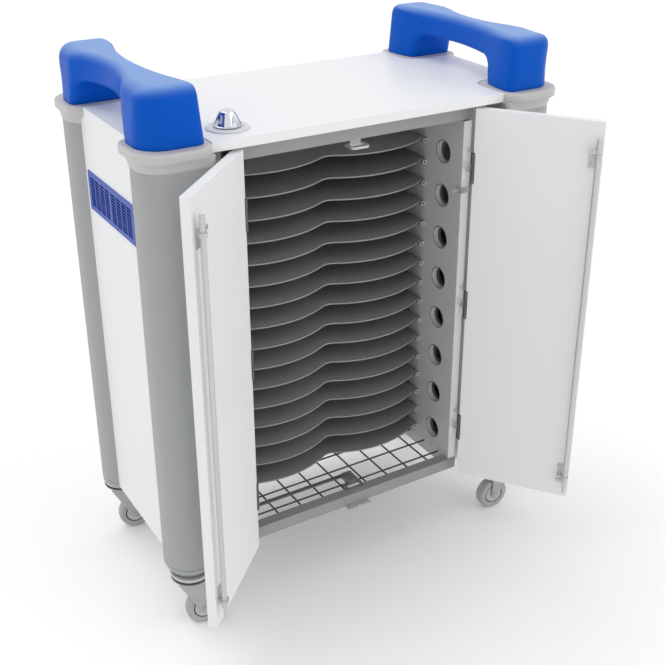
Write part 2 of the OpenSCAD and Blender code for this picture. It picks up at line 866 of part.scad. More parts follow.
// Door rod: a long round rod with a hook near each end and a thin lower pin
rod_pin_d = 6;
rod_pin_len = 24;

module hook(low) {
    translate([0, 0, low]) linear_extrude(hook_t)
        polygon([[0, -hook_root / 2], [0, hook_root / 2],
                 [-hook_len, hook_tip / 2], [-hook_len, -hook_tip / 2]]);
}

module rod(x) {
    translate([x, rod_y, 0]) {
        translate([0, 0, rod_low]) cylinder(h = rod_high - rod_low, d = rod_d);
        translate([0, 0, rod_low - rod_pin_len]) cylinder(h = rod_pin_len, d = rod_pin_d);
        hook(bracket_end - run - hook_t);
        hook(bracket_high + bracket_h + run);
    }
}

module rod_left() { color(steel) from_middle() in_left_door() rod(rod_left_x); }
module rod_right() { color(steel) from_middle() in_right_door() rod(rod_right_x); }

// Knob: a notched cone on a round plate, its spindle down in the plate
knob_plate_t = 4;
knob_rim = 2;
spindle_d = 12;
knob_flat_t = 3;
knob_notch_w = 14;
knob_notch_in = 18;
knob_notch_low = 6;
knob_notches = 4;
notch_turn = 20;
knob_x = post_in_x - knob_in;

module at_knob() {
    translate([-knob_x, -knob_y, table_z]) children();
}

module knob_plate() {
    color(steel) from_middle() at_knob() rotate_extrude() polygon([
        [spindle_d / 2 + fit, 0], [knob_plate_d / 2, 0], [knob_plate_d / 2, knob_plate_t - knob_rim],
        [knob_plate_d / 2 - knob_rim, knob_plate_t], [spindle_d / 2 + fit, knob_plate_t]]);
}

module knob() {
    color(steel) from_middle() at_knob() difference() {
        translate([0, 0, knob_plate_t + run]) union() {
            rotate_extrude() polygon([
                [0, 0], [knob_d / 2, 0], [knob_d / 2, knob_flat_t],
                [knob_top_d / 2, knob_h - knob_flat_t], [knob_top_d / 2 - knob_rim, knob_h],
                [0, knob_h]]);
            translate([0, 0, -knob_plate_t]) cylinder(h = knob_plate_t, d = spindle_d);
        }
        for (i = [0 : knob_notches - 1]) rotate([0, 0, notch_turn + i * 360 / knob_notches])
            block([knob_notch_in, -knob_notch_w / 2, knob_plate_t + knob_notch_low],
                  [knob_d / 2 + cut, knob_notch_w / 2, knob_plate_t + knob_h + cut]);
    }
}

// Castor: a round housing, a thin race, a fork that swivels and a wheel
housing_top = base_z - ring_h;
housing_low = housing_top - housing_h;
housing_edge_r = 8;
race_h = 3;
race_d = 84;
crown_top = housing_low - race_h;
crown_t = 9;
crown_d = 96;
crown_low_d = 74;
swivel_seat = 2;
arm_t = 3;
arm_gap = 2;
arm_end_r = 9;
arm_top_back = 30;
arm_top_front = 28;
axle_z = wheel_d / 2;
trail_angles = [350, 177, 350, 180];

// A castor's frame: z from the floor, x along its trail
module in_castor(i) {
    side = i % 2 == 0 ? -1 : 1;
    end = i < 2 ? -1 : 1;
    translate([side * castor_x, end * castor_y, 0]) rotate([0, 0, trail_angles[i]]) children();
}

module castor_housings() {
    color(collar_grey) from_middle() for (side = [-1, 1], end = [-1, 1])
        translate([side * castor_x, end * castor_y, housing_low])
            rotate_extrude() difference() {
                union() {
                    block_2d([swivel_d / 2 + fit, 0], [housing_d / 2 - housing_edge_r, housing_h]);
                    block_2d([swivel_d / 2 + fit, housing_edge_r], [housing_d / 2, housing_h]);
                    intersection() {
                        translate([housing_d / 2 - housing_edge_r, housing_edge_r])
                            circle(housing_edge_r);
                        block_2d([swivel_d, 0], [housing_d / 2, housing_h]);
                    }
                }
                block_2d([0, housing_h - swivel_seat], [swivel_d, housing_h + cut]);
            }
}

module swivel_races() {
    color(steel) from_middle() for (side = [-1, 1], end = [-1, 1])
        translate([side * castor_x, end * castor_y, crown_top + run])
            difference() {
                cylinder(h = race_h - run, d = race_d);
                translate([0, 0, -cut]) cylinder(h = race_h + 2 * cut, d = swivel_d + 2 * fit);
            }
}

module fork_arm() {
    polygon([[-arm_top_back, crown_top - crown_t], [arm_top_front, crown_top - crown_t],
             [trail + arm_end_r, axle_z], [trail - arm_end_r, axle_z]]);
    translate([trail, axle_z]) circle(arm_end_r);
}

arm_in = wheel_w / 2 + arm_gap;
swivel_clear = 3;

module fork(i) {
    color(steel) from_middle() in_castor(i) {
        translate([0, 0, crown_top - crown_t]) cylinder(h = crown_t, d1 = crown_low_d, d2 = crown_d);
        translate([0, 0, crown_top])
            cylinder(h = race_h + housing_h - swivel_seat - swivel_clear, d = swivel_d);
        for (y = [-arm_in - arm_t, arm_in]) translate([0, y + arm_t, 0]) rotate([90, 0, 0])
            linear_extrude(arm_t) fork_arm();
        translate([trail, arm_in + arm_t + arm_gap, axle_z]) rotate([90, 0, 0])
            cylinder(h = 2 * (arm_in + arm_t + arm_gap), d = axle_d);
    }
}

module fork_fl() { fork(0); }
module fork_fr() { fork(1); }
module fork_rl() { fork(2); }
module fork_rr() { fork(3); }

// Tyre: a rubber ring with rounded shoulders
tyre_r = 5;

module tyre(i) {
    w = wheel_w / 2;
    r = wheel_d / 2;
    color(rubber) from_middle() in_castor(i) translate([trail, 0, axle_z]) rotate([90, 0, 0])
        rotate_extrude() {
            block_2d([hub_d / 2, -w], [r - tyre_r, w]);
            block_2d([r - tyre_r, tyre_r - w], [r, w - tyre_r]);
            for (side = [-1, 1]) translate([r - tyre_r, side * (w - tyre_r)]) circle(tyre_r);
        }
}

module tyre_fl() { tyre(0); }
module tyre_fr() { tyre(1); }
module tyre_rl() { tyre(2); }
module tyre_rr() { tyre(3); }

// Hub: a disc with a ring groove in each face and a bore for the axle
hub_inset = 1;
hub_groove_r = 21.4;
hub_groove_w = 2.4;
hub_groove_deep = 3;

module hub(i) {
    w = wheel_w / 2 - hub_inset;
    color(collar_grey) from_middle() in_castor(i) translate([trail, 0, axle_z]) rotate([90, 0, 0])
        rotate_extrude() difference() {
            block_2d([axle_d / 2 + fit, -w], [hub_d / 2, w]);
            for (side = [-1, 1])
                block_2d([hub_groove_r, side * w - hub_groove_deep],
                         [hub_groove_r + hub_groove_w, side * w + hub_groove_deep]);
        }
}

module hub_fl() { hub(0); }
module hub_fr() { hub(1); }
module hub_rl() { hub(2); }
module hub_rr() { hub(3); }

top_panel();
side_panel_left();
side_panel_right();
rear_panel();
front_strips();
fascia_rail();
bottom_rail();
post_fl();
post_fr();
post_rl();
post_rr();
collar_fl();
collar_fr();
collar_rl();
collar_rr();
post_feet();
handle_left();
handle_right();
inner_wall_left();
inner_wall_right();
shelves_lower();
shelves_upper();
shelf_runners();
mesh_floor();
vent_left();
vent_right();
top_keeper();
bottom_latch();
keeper_plate();
keeper_screws();
link_bar();
wall_catch();
hinge_frame_leaves();
hinge_pins();
knob_plate();
castor_housings();
swivel_races();
door_left();
door_right();
door_leaves_left();
door_leaves_right();
rod_brackets_left();
rod_brackets_right();
bracket_screws_left();
bracket_screws_right();
rod_left();
rod_right();
knob();
fork_fl();
fork_fr();
fork_rl();
fork_rr();
tyre_fl();
tyre_fr();
tyre_rl();
tyre_rr();
hub_fl();
hub_fr();
hub_rl();
hub_rr();
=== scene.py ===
import math

import bpy
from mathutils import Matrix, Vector


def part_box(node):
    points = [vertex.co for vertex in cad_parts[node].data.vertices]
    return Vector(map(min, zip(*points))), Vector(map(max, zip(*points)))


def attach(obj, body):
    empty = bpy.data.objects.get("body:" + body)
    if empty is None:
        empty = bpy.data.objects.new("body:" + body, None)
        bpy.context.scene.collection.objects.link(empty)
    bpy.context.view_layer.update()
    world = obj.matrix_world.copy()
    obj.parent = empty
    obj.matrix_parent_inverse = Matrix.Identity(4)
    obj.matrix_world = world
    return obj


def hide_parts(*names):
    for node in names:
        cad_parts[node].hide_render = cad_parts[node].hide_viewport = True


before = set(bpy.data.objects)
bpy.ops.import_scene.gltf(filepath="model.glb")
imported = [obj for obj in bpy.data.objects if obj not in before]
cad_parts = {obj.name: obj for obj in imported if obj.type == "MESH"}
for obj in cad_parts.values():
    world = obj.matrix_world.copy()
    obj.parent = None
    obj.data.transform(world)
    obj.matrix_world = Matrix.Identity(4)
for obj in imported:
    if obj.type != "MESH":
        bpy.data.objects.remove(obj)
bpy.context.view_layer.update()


# White boards: table top, side panels, rear panel and two narrow front strips.
# Melamine-faced chipboard with white tape on the edges. The panels stand between
# the posts, and each strip is painted dark along the inner wall: painted shade
# for the gap between wall and door.

class Wire:
    """A socket of a shader node, which is reckoned with as if it were a number."""

    def __init__(self, tree, socket=None):
        self.tree = tree
        self.socket = socket

    def node(self, kind, settings, sockets, output=0):
        """A new node with its settings and inputs; what comes back is one of its outputs."""
        made = self.tree.nodes.new("ShaderNode" + kind)
        for name, value in settings.items():
            setattr(made, name, value)
        for name, value in sockets.items():
            if isinstance(value, Wire):
                self.tree.links.new(value.socket, made.inputs[name])
            else:
                made.inputs[name].default_value = value
        return Wire(self.tree, made.outputs[output] if made.outputs else None)

    def reckon(self, operation, first, second):
        """The outcome of a sum or another operation on two numbers or wires."""
        return self.node("Math", {"operation": operation}, {0: first, 1: second})

    def __add__(self, other):
        return self.reckon("ADD", self, other)

    def __sub__(self, other):
        return self.reckon("SUBTRACT", self, other)

    def __mul__(self, other):
        return self.reckon("MULTIPLY", self, other)

    def __rsub__(self, other):
        return self.reckon("SUBTRACT", other, self)

    __radd__ = __add__
    __rmul__ = __mul__

    def mix(self, low, high):
        """The colour low where this is 0, and the colour high where it is 1."""
        return self.node("Mix", {"data_type": "RGBA"}, {0: self, 6: low, 7: high}, 2)

    def place(self):
        """Where a point lies on the piece, in metres, whichever way the piece has moved."""
        return self.node("TexCoord", {}, {}, "Object")

    def beyond(self, axis, limit):
        """1 where the piece lies further along that axis than limit, and 0 elsewhere."""
        along = self.node("SeparateXYZ", {}, {"Vector": self.place()}, axis)
        return self.reckon("GREATER_THAN", along, limit)

    def upward(self, sharpness):
        """1 on faces that look straight up, falling off to 0 on upright ones."""
        normal = self.node("TexCoord", {}, {}, "Normal")
        up = self.node("SeparateXYZ", {}, {"Vector": normal}, "Z")
        return self.reckon("POWER", self.reckon("MAXIMUM", up, 0.0), sharpness)

    def seen(self):
        """1 for what the camera sees straight, in a mirror or through glass, and 0 otherwise."""
        kinds = [self.node("LightPath", {}, {}, "Is %s Ray" % kind)
                 for kind in ("Camera", "Glossy", "Transmission")]
        return kinds[0] + kinds[1] + kinds[2]

    def noise(self, scale, detail=2.0, stretch=(1, 1, 1)):
        """Soft random patches, that many to the metre."""
        spot = self.node("Mapping", {}, {"Vector": self.place(), "Scale": stretch})
        return self.node("TexNoise", {}, {"Vector": spot, "Scale": scale, "Detail": detail})

    def relief(self, height, depth, under=None):
        """The surface's normal where height, from 0 to 1, stands up by depth in metres."""
        sockets = {"Strength": 1.0, "Distance": depth, "Height": height}
        if under:
            sockets["Normal"] = under
        return self.node("Bump", {}, sockets)


def paint(red, green, blue):
    """A colour as a paint card gives it, 0 to 255, in the light that it throws back."""
    tones = [tone / 255 for tone in (red, green, blue)]
    return tuple(t / 12.92 if t < 0.04045 else ((t + 0.055) / 1.055) ** 2.4 for t in tones) + (1,)


def start(name):
    """An empty material under that name, ready for its nodes."""
    material = bpy.data.materials.new(name)
    material.use_nodes = True
    material.node_tree.nodes.clear()
    return material, Wire(material.node_tree)


def surface(material, sockets):
    """The one shader of a material, with what its sockets are set to."""
    wire = Wire(material.node_tree)
    shader = wire.node("BsdfPrincipled", {}, sockets)
    wire.node("OutputMaterial", {}, {"Surface": shader})
    return material


def dress(node, material, edge=0.0, steps=2):
    """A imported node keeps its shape, gets a finish and has its sharp edges eased."""
    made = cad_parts[node]
    made.data.materials.clear()
    made.data.materials.append(material)
    made.data.shade_smooth()
    made.data.set_sharp_from_angle(angle=math.radians(28))
    if edge:
        eased = made.modifiers.new("eased_edges", "BEVEL")
        eased.width = edge
        eased.segments = steps
        eased.limit_method = "ANGLE"
        eased.angle_limit = math.radians(40)
        eased.use_clamp_overlap = False
        eased.harden_normals = True
    return made


def board_finish(name, low, high, rough):
    """Melamine: a faint pearl under a satin film, a little uneven from sheet to sheet."""
    material, wire = start(name)
    cloud = wire.noise(2.6, 3.0)
    pearl = wire.noise(1500, 1.0)
    film = wire.noise(90, 3.0)
    return surface(material, {
        "Base Color": cloud.mix(low, high),
        "Roughness": rough + 0.10 * film,
        "Specular IOR Level": 0.42,
        "Normal": wire.relief(pearl, 0.00003)})


board_white = (paint(232, 233, 235), paint(239, 240, 241))
white_melamine = board_finish("white_melamine", *board_white, 0.36)
board_edge = 0.0009

for node in ("top_panel", "side_panel_left", "side_panel_right", "rear_panel"):
    dress(node, white_melamine, board_edge)

shade_band_end = 0.280
strip_with_painted_shade, wire = start("strip_with_painted_shade")
# Painted shade: near the inner walls the strip is dark, standing in for the shadow in the gap by the
# door; further out it stays white.
clear = wire.beyond("X", shade_band_end) + (1 - wire.beyond("X", -shade_band_end))
strip_white = wire.noise(2.6, 3.0).mix(*board_white)
strip_painted_shade = wire.noise(200, 3.0).mix(paint(70, 71, 73), paint(88, 89, 91))
surface(strip_with_painted_shade, {
    "Base Color": clear.mix(strip_painted_shade, strip_white),
    "Roughness": 0.40 + 0.10 * wire.noise(90, 3.0),
    "Normal": wire.relief(wire.noise(1500, 1.0), 0.00003)})
dress("front_strips", strip_with_painted_shade, board_edge)


# Inner walls and cross rails: the lining beside the shelves and the two rails
# that tie it together. The walls are white boards with white tape on the front
# edges; their faces are painted a light grey, as painted shade from the shelves.
# The rails are powder-coated steel, screwed between the walls.

wall_melamine_painted_shade, wire = start("wall_melamine_painted_shade")
wall_low, wall_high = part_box("inner_wall_right")
tape_end = wall_low.y + 0.0022
face_painted_shade = wire.noise(2.6, 3.0).mix(paint(192, 193, 195), paint(200, 201, 203))
tape_white = wire.noise(40, 2.0, (1, 1, 0.1)).mix(paint(242, 242, 243), paint(247, 247, 248))
surface(wall_melamine_painted_shade, {
    # Painted shade: the wall faces are a light grey, darker than their white front edges, for the
    # shade cast by the shelves.
    "Base Color": wire.beyond("Y", tape_end).mix(tape_white, face_painted_shade),
    "Roughness": 0.42 + 0.10 * wire.noise(90, 3.0),
    "Specular IOR Level": 0.42,
    "Normal": wire.relief(wire.noise(1500, 1.0), 0.00003)})

for node in ("inner_wall_left", "inner_wall_right"):
    dress(node, wall_melamine_painted_shade, 0.0016, 3)

rail_grey, wire = start("rail_grey")
rail_orange_peel = wire.noise(420, 2.0)
surface(rail_grey, {
    "Base Color": wire.noise(5, 3.0).mix(paint(146, 146, 147), paint(154, 154, 155)),
    "Roughness": 0.40 + 0.12 * wire.noise(60, 3.0),
    "Normal": wire.relief(rail_orange_peel, 0.00006)})

for node in ("fascia_rail", "bottom_rail"):
    dress(node, rail_grey, 0.0012, 3)


# Corner posts: four hollow uprights drawn in grey plastic, with two wide
# rounded corners to the outside. Each stands on a cap that closes its lower
# end, and a ring with two grooves under the cap receives the castor.

def skin(name, rings, material, body, slot, ends=(True, True), smooth=28):
    """A closed skin over rings of points, in order, each with the same number of points."""
    points = [tuple(point) for ring in rings for point in ring]
    n = len(rings[0])
    faces = []
    for row in range(len(rings) - 1):
        for i in range(n):
            j = (i + 1) % n
            faces.append((row * n + i, row * n + j, (row + 1) * n + j, (row + 1) * n + i))
    if ends[0]:
        faces.append(tuple(reversed(range(n))))
    if ends[1]:
        faces.append(tuple(range((len(rings) - 1) * n, len(rings) * n)))
    return solid(name, points, faces, material, body, smooth)


def solid(name, points, faces, material, body, smooth=28):
    """A piece from its points and faces, on the body that carries it."""
    mesh = bpy.data.meshes.new(name)
    mesh.from_pydata(points, [], faces)
    mesh.materials.append(material)
    mesh.validate()
    mesh.shade_smooth()
    mesh.set_sharp_from_angle(angle=math.radians(smooth))
    piece = bpy.data.objects.new(name, mesh)
    bpy.context.scene.collection.objects.link(piece)
    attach(piece, body)
    return piece


def corner_plan(width, depth, radii, inset, side, end, centre):
    """A plan with its own radius at each corner, from the far outer one inwards and round."""
    plan = []
    for turn, (sx, sy) in enumerate(((1, 1), (-1, 1), (-1, -1), (1, -1))):
        radius = radii[turn]
        cx = sx * (width / 2 - radius)
        cy = sy * (depth / 2 - radius)
        reach = max(radius - inset, 0.0002)
        for k in range(13):
            angle = math.radians(90 * turn + 90 * k / 12)
            plan.append((side * (cx + reach * math.cos(angle)) + centre[0],
                         end * (cy + reach * math.sin(angle)) + centre[1]))
    return plan[::-1] if side * end < 0 else plan


def prism(name, plan, steps, *facts):
    """A skin whose plan is inset and raised step by step: steps holds (inset, height)."""
    return skin(name, [[(x, y, z) for x, y in plan(inset)] for inset, z in steps], *facts)


def middle(node):
    low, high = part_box(node)
    return (low + high) / 2


post_grey, wire = start("post_grey")
post_grain = wire.noise(700, 3.0)
post_draw = wire.noise(260, 2.0, (1, 1, 0.01))
surface(post_grey, {
    "Base Color": wire.noise(3, 4.0).mix(paint(159, 161, 162), paint(166, 168, 169)),
    "Roughness": 0.46 + 0.10 * wire.noise(40, 3.0),
    "Specular IOR Level": 0.40,
    "Normal": wire.relief(post_grain, 0.00006, wire.relief(post_draw, 0.00004))})

corners = {"fl": (-1, -1), "fr": (1, -1), "rl": (-1, 1), "rr": (1, 1)}
post_width = 0.132
post_depth = 0.112
post_radii = (0.049, 0.007, 0.007, 0.049)
cap_height = 0.013
castor_out = 0.020
castor_over = 0.0145
foot_low, foot_high = (corner.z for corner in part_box("post_feet"))
cap_low = foot_high - cap_height

for mark, (side, end) in corners.items():
    post_centre = middle("post_" + mark)
    post_low, post_high = (corner.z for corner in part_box("post_" + mark))

    def post_plan(inset):
        return corner_plan(post_width, post_depth, post_radii, inset, side, end, post_centre)

    post = prism("post_shell_" + mark, post_plan, [
        (0.0012, post_low + 0.0002), (0.0002, post_low + 0.0012), (0, post_low + 0.0026),
        (0, post_high - 0.003), (0.0004, post_high - 0.0014), (0.0014, post_high - 0.0002)],
        post_grey, "cart", "post")
    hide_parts("post_" + mark)


def lathe(name, profile, centre, material, body, slot, axis=(0, 0, 1), steps=72, smooth=28,
          ends=(True, True)):
    """A turned piece: profile holds (radius, height along the axis) from end to end."""
    turned = Vector((0, 0, 1)).rotation_difference(Vector(axis)).to_matrix()
    rings = []
    for radius, height in profile:
        ring = []
        for k in range(steps):
            angle = 2 * math.pi * k / steps
            spot = Vector((radius * math.cos(angle), radius * math.sin(angle), height))
            ring.append(Vector(centre) + turned @ spot)
        rings.append(ring)
    return skin(name, rings, material, body, slot, ends, smooth)


def rounded(profile, radius, steps=4):
    """A turned profile with each inner point of it rounded off by radius."""
    made = [profile[0]]
    for before, here, after in zip(profile, profile[1:], profile[2:]):
        a, b, c = Vector(before), Vector(here), Vector(after)
        reach = min(radius, (a - b).length * 0.45, (c - b).length * 0.45)
        p = b + (a - b).normalized() * reach
        q = b + (c - b).normalized() * reach
        for k in range(steps + 1):
            t = k / steps
            made.append(tuple(p * (1 - t) ** 2 + b * 2 * t * (1 - t) + q * t ** 2))
    return made + [profile[-1]]


ring_grey, wire = start("ring_grey")
surface(ring_grey, {
    "Base Color": wire.noise(40, 3.0).mix(paint(116, 117, 119), paint(130, 131, 133)),
    "Roughness": 0.44 + 0.12 * wire.noise(90, 3.0),
    "Normal": wire.relief(wire.noise(800, 2.0), 0.00005)})

ring_r = 0.043
groove_depth = 0.0035
caps = []
for mark, (side, end) in corners.items():
    post_centre = middle("post_" + mark)

    def cap_plan(inset):
        return corner_plan(post_width, post_depth, post_radii, inset, side, end, post_centre)

    caps.append(prism("post_cap_" + mark, cap_plan, [
        (0.0050, cap_low), (0.0022, cap_low + 0.0005), (0.0006, cap_low + 0.0020),
        (0, cap_low + 0.0040), (0, foot_high - 0.0014), (0.0010, foot_high - 0.0003),
        (0.0022, foot_high)], post_grey, "cart", "post"))
    ring_top = cap_low + 0.0005
    caps.append(lathe("castor_ring_" + mark, rounded([
        (0.002, ring_top), (ring_r - groove_depth, ring_top),
        (ring_r - groove_depth, cap_low - 0.0020), (ring_r, cap_low - 0.0020),
        (ring_r, cap_low - 0.0050), (ring_r - groove_depth, cap_low - 0.0050),
        (ring_r - groove_depth, foot_low), (0.002, foot_low)][::-1], 0.0006),
        (post_centre.x + side * castor_out, post_centre.y + end * castor_over, 0),
        ring_grey, "cart", "post", steps=96))
for cap in caps:
    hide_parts("post_feet")


# Cable bushes: a dark rim and a pale sleeve in each of the eight bores of the
# right wall, with the sleeve's far part painted dark as painted shade deep in the
# bore. Moulded plastic, pressed in from the shelves' side.

bush_grey, wire = start("bush_grey")
rim_dark = wire.noise(200, 2.0).mix(paint(92, 92, 93), paint(108, 108, 109))
sleeve_pale = wire.noise(120, 3.0).mix(paint(206, 206, 207), paint(218, 218, 219))
deep_painted_shade = wire.noise(120, 3.0).mix(paint(96, 96, 97), paint(116, 116, 117))
sleeve_end = wall_low.x + 0.0102
sleeve = wire.beyond("X", wall_low.x).mix(rim_dark, sleeve_pale)
surface(bush_grey, {
    # Painted shade: past sleeve_end the sleeve turns dark, for the shade deep inside the bore.
    "Base Color": wire.beyond("X", sleeve_end).mix(sleeve, deep_painted_shade),
    "Roughness": 0.42 + 0.12 * wire.noise(150, 3.0),
    "Normal": wire.relief(wire.noise(900, 2.0), 0.00004)})

bore_count = 8
bore_y = wall_low.y + 0.0665
bore_low = wall_low.z + 0.0774
bore_step = 0.0963
bush_profile = [(0.0250, 0.0000), (0.0249, -0.0005), (0.0242, -0.0008), (0.0235, -0.0005),
                (0.0231, 0.0001), (0.0229, 0.0100), (0.0218, 0.0104), (0.0216, 0.0176),
                (0.0237, 0.0176), (0.0237, 0.0000), (0.0250, 0.0000)]
for k in range(bore_count):
    lathe("cable_bush_%d" % (k + 1), bush_profile, (wall_low.x, bore_y, bore_low + k * bore_step),
          bush_grey, "cart", "collar", axis=(1, 0, 0), ends=(False, False))


# Compartment floors: a white board closes each side compartment from below,
# between the inner wall and the side panel, and carries the adaptors.

floor_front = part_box("front_strips")[1].y
floor_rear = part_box("rear_panel")[0].y
floor_thick = 0.006
floor_ease = 0.0006
floor_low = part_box("side_panel_right")[0].z + 0.0005
floor_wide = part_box("side_panel_right")[0].x - wall_high.x
for name, side in (("left", -1), ("right", 1)):
    floor_centre = (side * (wall_high.x + floor_wide / 2), (floor_front + floor_rear) / 2)

    def floor_plan(inset):
        return corner_plan(floor_wide, floor_rear - floor_front, (0.002,) * 4, inset, 1, 1,
                           floor_centre)

    prism("compartment_floor_" + name, floor_plan, [
        (floor_ease, floor_low), (0, floor_low + floor_ease),
        (0, floor_low + floor_thick - floor_ease), (floor_ease, floor_low + floor_thick)],
        white_melamine, "cart", "white_board")


# Collars: four moulded blocks on the posts, level with the table top, that
# carry the handles. Pale grey plastic with rounded rims, screwed from below,
# and each with a skirt that runs down into the outer side of its post.

collar_grey, wire = start("collar_grey")
surface(collar_grey, {
    "Base Color": wire.noise(6, 4.0).mix(paint(190, 188, 186), paint(198, 196, 194)),
    "Roughness": 0.40 + 0.10 * wire.noise(50, 3.0),
    "Specular IOR Level": 0.45,
    "Normal": wire.relief(wire.noise(800, 3.0), 0.00005)})

collar_radii = (0.049, 0.034, 0.034, 0.030)
neck_drop = 0.019
neck_out = 0.0065
neck_tuck = 0.0003

for mark, (side, end) in corners.items():
    collar_low, collar_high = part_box("collar_" + mark)
    collar_centre = (collar_low + collar_high) / 2
    collar_size = collar_high - collar_low

    def collar_plan(inset):
        return corner_plan(collar_size.x, collar_size.y, collar_radii, inset, side, end,
                           collar_centre)

    low, high = collar_low.z, collar_high.z
    collar = prism("collar_block_" + mark, collar_plan, [
        (0.0024, low), (0.0007, low + 0.0007), (0, low + 0.0024), (0, high - 0.0045),
        (0.0004, high - 0.0028), (0.0016, high - 0.0011), (0.0032, high - 0.0003),
        (0.0050, high)], collar_grey, "cart", "collar")
    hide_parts("collar_" + mark)

    post_centre = middle("post_" + mark)
    neck_rings = []
    for out, front, z in ((neck_out, 0.0026, low + 0.0006), (neck_out * 0.82, 0.0024, low - 0.003),
                          (neck_out * 0.45, 0.0018, low - 0.009),
                          (0.0012, 0.0008, low - neck_drop + 0.001),
                          (0.0004, 0.0003, low - neck_drop)):
        neck_centre = (post_centre.x + side * (out / 2 + neck_tuck), post_centre.y, 0)
        plan = corner_plan(post_width + out - 2 * neck_tuck, post_depth + 2 * front, post_radii,
                           0, side, end, neck_centre)
        neck_rings.append([(x, y, z) for x, y in plan])
    skin("collar_neck_" + mark, neck_rings[::-1], collar_grey, "cart", "collar", smooth=40)


# Handles: two hollow bows blown in blue plastic, each on two legs over its
# collars. The grip is waisted for the hand, and its edges are well rounded. The
# faces that look up are painted a paler blue: a painted highlight for the sheen
# of the lamps overhead.

handle_blue, wire = start("handle_blue")
handle_grain = wire.noise(900, 3.0)
handle_own_blue = wire.noise(9, 4.0).mix(paint(0, 81, 187), paint(3, 89, 197))
handle_painted_sheen = wire.noise(14, 4.0).mix(paint(112, 150, 212), paint(128, 162, 218))
surface(handle_blue, {
    # Painted highlight: upward faces blend to a paler blue for the lamps' sheen.
    "Base Color": wire.upward(2.5).mix(handle_own_blue, handle_painted_sheen),
    "Roughness": 0.30 + 0.10 * wire.noise(30, 3.0),
    "Specular IOR Level": 0.08,
    "Normal": wire.relief(handle_grain, 0.00005)})

handle_top = 0.106
outer_half = 0.055
inner_half = 0.063
bow_end = 0.225
hand_half = 0.1345
leg_lean = 0.008
arch_r = 0.026
hand_high = 0.051
outer_lean = 0.0035
inner_lean = 0.0085
top_edge_r = 0.020
outer_waist = (0.030, 0.305)
inner_waist = (0.024, 0.660)
waist_soft = 0.0022
grip_rise = 0.003
arch_y = hand_half - leg_lean - arch_r
arch_z = hand_high - arch_r


def half_width(y, half, waist):
    """From the handle's axis to one side: straight at the legs, waisted between them."""
    deep, radius = waist
    bow = half + radius - deep - math.sqrt(radius ** 2 - y ** 2)
    return -waist_soft * math.log(math.exp(-bow / waist_soft) + math.exp(-half / waist_soft))


def sides_at(y, z):
    """How far the handle reaches from its axis to its outer and inner side there."""
    lean = min(max(z, 0) / (handle_top - top_edge_r), 1)
    return (half_width(y, outer_half, outer_waist) - outer_lean * lean,
            half_width(y, inner_half, inner_waist) - inner_lean * lean)


def outer_point(angle):
    """Where a ray from the arch's centre leaves the handle, as seen from its side."""
    ry, rz = math.cos(angle), math.sin(angle)
    reach = min((bow_end - arch_y) / max(ry, 1e-6), (handle_top - arch_z) / max(rz, 1e-6))
    ey, ez = bow_end - top_edge_r - arch_y, handle_top - top_edge_r - arch_z
    if reach * ry > ey and reach * rz > ez:
        along = ry * ey + rz * ez
        reach = along + math.sqrt(along ** 2 - ey ** 2 - ez ** 2 + top_edge_r ** 2)
    return arch_y + reach * ry, arch_z + reach * rz


edge_steps = 9
flat_steps = 6


def bow_ring(inner, outer, hand_r, far_out, far_in, inset=0.0):
    """One section of the bow between an inner and an outer point of its side view."""
    (iy, iz), (oy, oz) = inner, outer
    length = math.hypot(oy - iy, oz - iz)
    out_mid, in_mid = sides_at((iy + oy) / 2, (iz + oz) / 2)

    def spot(x, along):
        y = iy + (oy - iy) * along / length
        z = iz + (oz - iz) * along / length
        out_here, in_here = sides_at(y, z)
        return (x / out_mid * out_here if x > 0 else x / in_mid * in_here, y, z)

    turned = []
    for turn, (sx, far, radius) in enumerate(((1, 1, far_out), (-1, 1, far_in),
                                              (-1, 0, hand_r), (1, 0, hand_r))):
        cx = (out_mid if sx > 0 else in_mid) - radius
        cl = length - radius if far else radius
        angles = [math.radians(90 * turn + 90 * k / edge_steps) for k in range(edge_steps + 1)]
        turned.append([(sx * cx + (radius - inset) * math.cos(a),
                        cl + (radius - inset) * math.sin(a)) for a in angles])
    ring = []
    for turn, corner in enumerate(turned):
        (ax, al), (bx, bl) = corner[-1], turned[(turn + 1) % 4][0]
        ring += corner + [(ax + (bx - ax) * k / flat_steps, al + (bl - al) * k / flat_steps)
                          for k in range(1, flat_steps)]
    return [spot(x, along) for x, along in ring]


def blend(low, high, t):
    """From low to high while t goes from 0 to 1, with a soft start and end."""
    t = t * t * (3 - 2 * t)
    return low + (high - low) * t


leg_outer_r = 0.050
leg_inner_r = 0.016
leg_hand_r = 0.014
grip_under_r = 0.010
half_bow = []
for z, inset in ((0, 0.0016), (0.0010, 0.0016), (0.0011, 0.0004), (0.0018, 0), (0.006, 0),
                 (0.012, 0), (0.018, 0)):
    lean_in = hand_half - leg_lean * z / arch_z
    half_bow.append(bow_ring((lean_in, z), (bow_end, z), leg_hand_r, leg_outer_r, leg_inner_r, inset))
fan_steps = 30
for k in range(fan_steps + 1):
    t = k / fan_steps
    angle = math.radians(90 * t)
    inner = (arch_y + arch_r * math.cos(angle), arch_z + arch_r * math.sin(angle))
    half_bow.append(bow_ring(inner, outer_point(angle), blend(leg_hand_r, grip_under_r, t),
                             blend(leg_outer_r, top_edge_r, t), blend(leg_inner_r, top_edge_r, t)))
grip_steps = 16
for k in range(1, grip_steps + 1):
    y = arch_y * (1 - k / grip_steps)
    rise = grip_rise * math.cos(math.pi / 2 * y / arch_y)
    half_bow.append(bow_ring((y, hand_high + rise), (y, handle_top), grip_under_r,
                             top_edge_r, top_edge_r))

